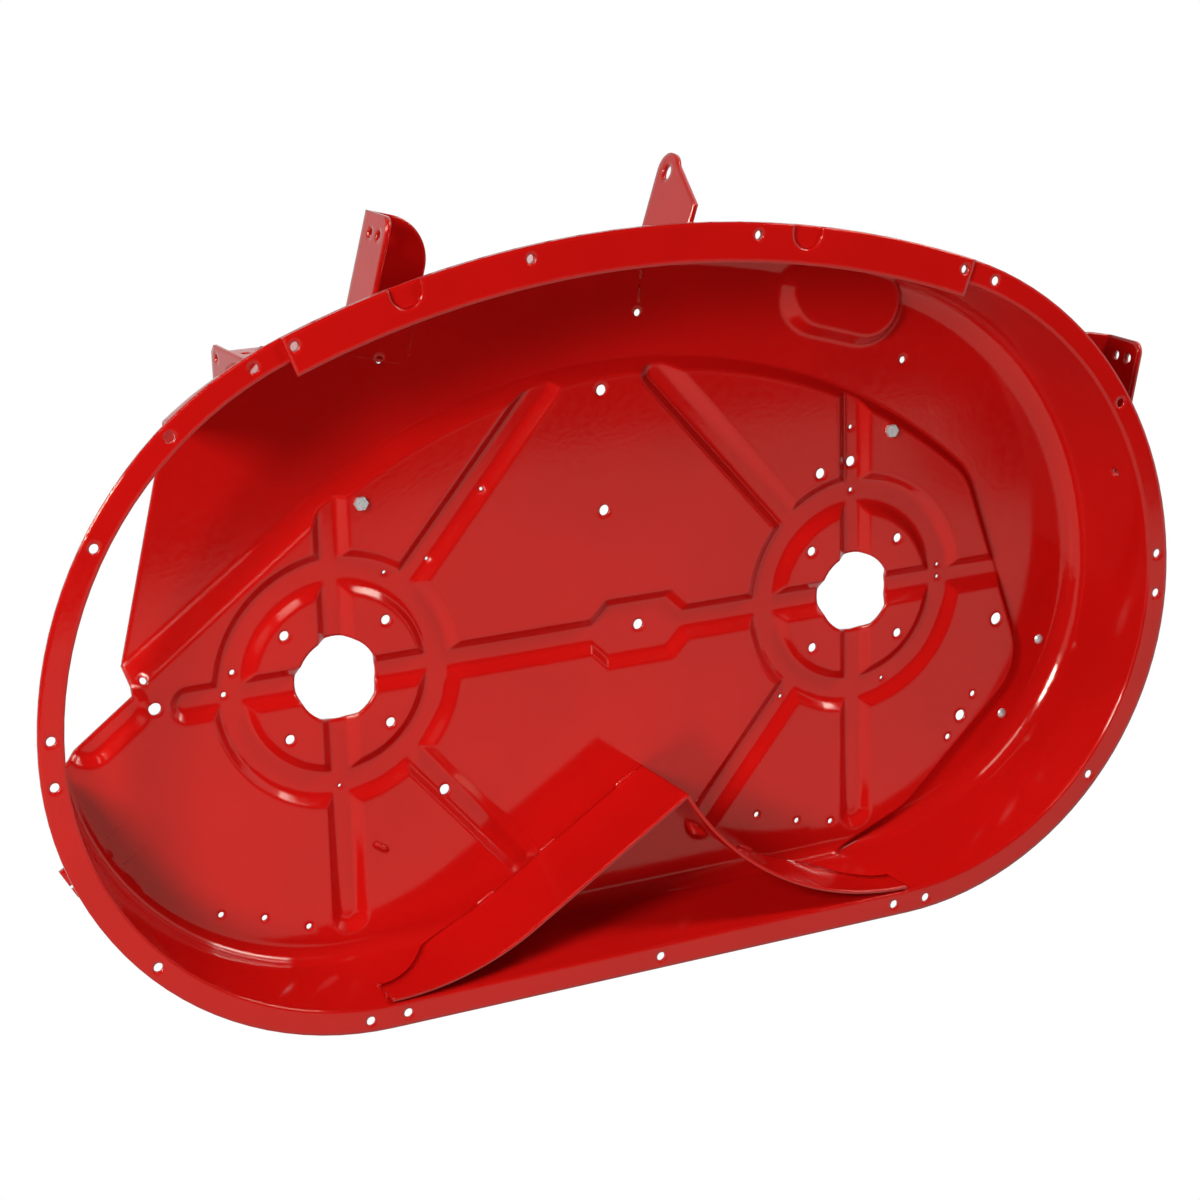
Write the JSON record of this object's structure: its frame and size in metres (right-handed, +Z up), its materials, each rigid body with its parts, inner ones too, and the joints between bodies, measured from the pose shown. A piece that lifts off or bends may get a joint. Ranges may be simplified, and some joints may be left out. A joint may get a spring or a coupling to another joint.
{
  "type": "lawn mower deck",
  "caption": "Pressed and welded steel cutting deck for twin blades: rounded skirt with rim flange, ribbed panel, side discharge mouth, baffle and gauge wheel brackets.",
  "frame": {"origin": "bottom centre of the whole deck's bounding box, on the surface the rim rests on", "axes": "+X along the line of the spindles, away from the discharge mouth; +Y to the rear; +Z up"},
  "size_m": [1.0168, 0.6574, 0.137],
  "materials": {
    "red_paint": "gloss",
    "zinc": "zinc plated"
  },
  "bodies": {
    "root": {"deck_shell": "red_paint", "front_strip": "red_paint", "baffle": "red_paint", "left_gauge_bracket": "red_paint", "right_gauge_bracket": "red_paint", "front_hanger": "red_paint", "chute_hinge_bracket": "red_paint", "lift_tab": "red_paint", "roof_rivets": "zinc", "hex_bolts": "zinc"}
  },
  "joints": []
}
